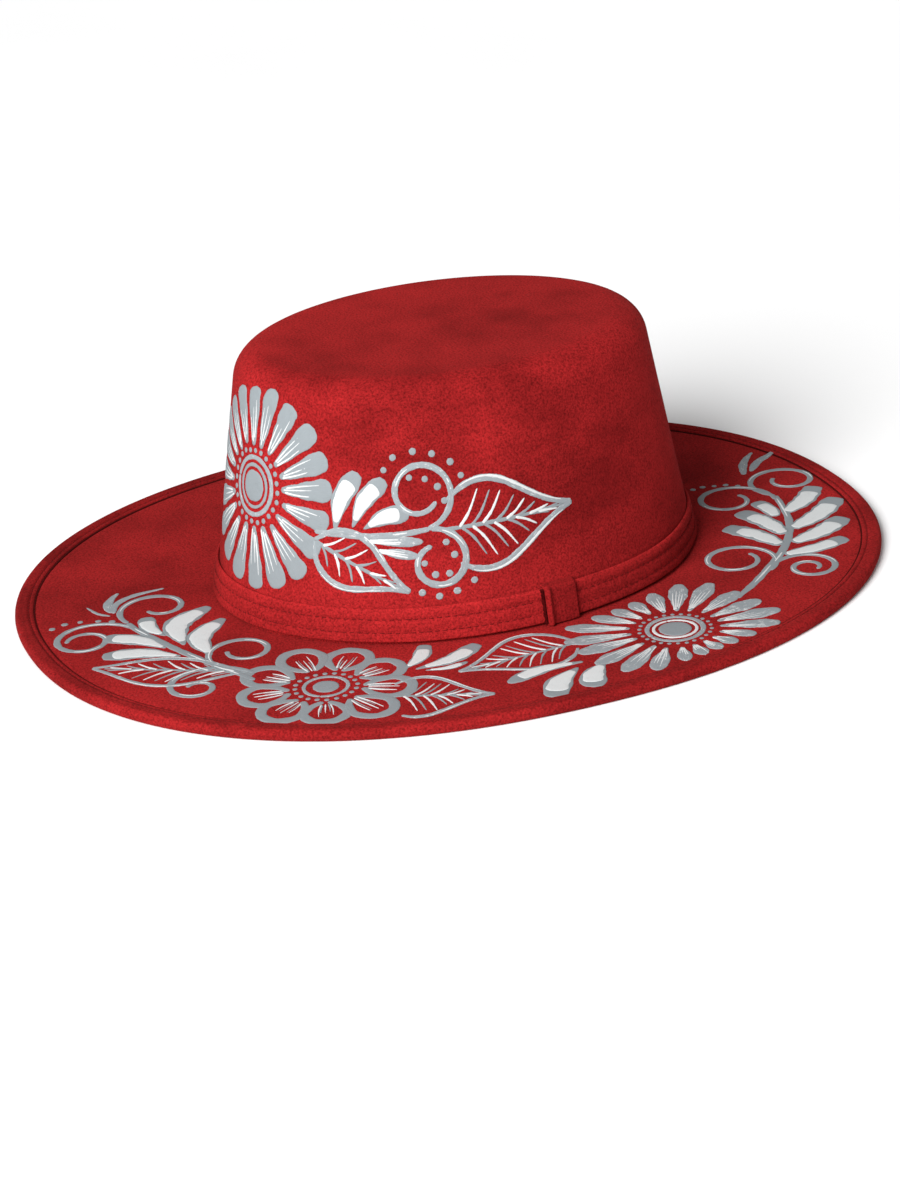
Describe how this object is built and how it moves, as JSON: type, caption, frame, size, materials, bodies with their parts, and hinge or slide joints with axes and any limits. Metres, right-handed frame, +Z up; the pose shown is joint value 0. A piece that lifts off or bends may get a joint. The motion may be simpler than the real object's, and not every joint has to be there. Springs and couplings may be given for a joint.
{
  "type": "sombrero",
  "caption": "Stiff wide-brimmed hat with an oval flat-topped crown, a hatband with a sliding keeper loop, a bound brim edge and a sweatband, painted with flowers.",
  "frame": {"origin": "on the resting plane under the middle of the brim", "axes": "-Y is the front of the hat, +X the wearer's left, +Z up through the crown"},
  "size_m": [0.32, 0.374, 0.11],
  "materials": {
    "crown_suede": "red faux suede with a soft brushed nap",
    "brim_suede": "red faux suede with a soft brushed nap",
    "binding_suede": "red faux suede, folded and stitched",
    "band_suede": "red faux suede, folded and stitched",
    "pressed_felt": "stiffened pressed felt",
    "lining_satin": "smooth satin lining",
    "red_thread": "twisted sewing thread",
    "steel_wire": "round spring wire",
    "sweatband_leather": "thin brown sweatband leather",
    "label_cloth": "blank woven label",
    "paint_grey": "thick matt grey textile paint, slightly raised",
    "paint_white": "thick matt white textile paint, slightly raised"
  },
  "bodies": {
    "hat": {"crown_cover": "crown_suede", "crown_stiffener": "pressed_felt", "lining_side": "lining_satin", "lining_tip": "lining_satin", "head_collar": "brim_suede", "collar_stitching": "red_thread", "brim_top_cover": "brim_suede", "brim_stiffener": "pressed_felt", "brim_under_cover": "brim_suede", "brim_edge_wire": "steel_wire", "brim_edge_binding": "binding_suede", "brim_edge_stitching": "red_thread", "hatband": "band_suede", "hatband_upper_stitching": "red_thread", "hatband_lower_stitching": "red_thread", "sweatband": "sweatband_leather", "sweatband_reed": "sweatband_leather", "sweatband_stitching": "red_thread", "sweatband_back_tape": "sweatband_leather", "size_label": "label_cloth"},
    "keeper": {"band_keeper": "band_suede"}
  },
  "joints": [
    {"name": "keeper_slide", "type": "hinge", "parent": "hat", "child": "keeper", "pos_m": [-0.04487, 0.0035, 0.0128], "axis": [0, 0, 1], "range_deg": [-10, 10]}
  ]
}
